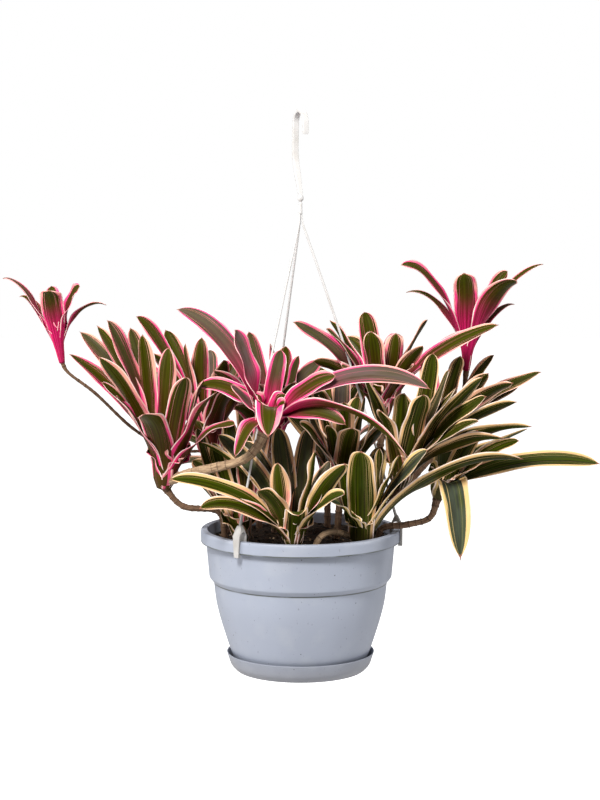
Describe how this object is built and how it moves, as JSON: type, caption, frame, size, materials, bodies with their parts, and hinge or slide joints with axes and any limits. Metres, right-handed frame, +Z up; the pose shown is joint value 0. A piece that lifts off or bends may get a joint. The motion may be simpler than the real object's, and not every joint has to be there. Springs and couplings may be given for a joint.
{
  "type": "potted bromeliad in a hanging pot",
  "caption": "Clump of variegated bromeliad rosettes on runners in a hanging plastic pot with a saucer and a hooked three-arm hanger.",
  "frame": {"origin": "the hook's bearing point, under the middle of its arch, on the pot's axis", "axes": "+Z up along the pot's axis, -Y the front, +X to the right; everything hangs below the origin"},
  "size_m": [0.811, 0.4266, 0.7697],
  "materials": {
    "pot_plastic": "semi-gloss pale blue-grey with dark specks",
    "saucer_plastic": "semi-gloss pale blue-grey, scuffed",
    "potting_soil": "matt, granular bark and peat mix",
    "hanger_plastic": "satin white, slightly soiled",
    "leaf_green": "satin, olive green with cream and pink margins",
    "leaf_flushed": "satin, magenta with olive tips",
    "stem_bark": "matt, fibrous brown"
  },
  "bodies": {
    "root": {"crown_back": "leaf_green", "crown_back_left": "leaf_green", "crown_back_right": "leaf_green", "crown_centre": "leaf_green", "crown_far_right": "leaf_green", "crown_front": "leaf_green", "crown_left": "leaf_green", "crown_low_front": "leaf_green", "crown_low_left": "leaf_green", "crown_low_right": "leaf_green", "crown_middle": "leaf_green", "crown_right": "leaf_green", "crown_upper_left": "leaf_green", "crown_upper_right": "leaf_green", "hanger_arm_back": "hanger_plastic", "hanger_arm_front": "hanger_plastic", "hanger_arm_right": "hanger_plastic", "hanger_hook": "hanger_plastic", "pot": "pot_plastic", "potting_soil": "potting_soil", "pup_left": "leaf_flushed", "pup_right": "leaf_flushed", "runner_pup_left": "stem_bark", "runner_surface": "stem_bark", "saucer": "saucer_plastic", "stem_back": "stem_bark", "stem_back_left": "stem_bark", "stem_back_right": "stem_bark", "stem_centre": "stem_bark", "stem_far_right": "stem_bark", "stem_front": "stem_bark", "stem_left": "stem_bark", "stem_middle": "stem_bark", "stem_pup_right": "stem_bark", "stem_right": "stem_bark", "stem_upper_left": "stem_bark", "stem_upper_right": "stem_bark"}
  },
  "joints": []
}
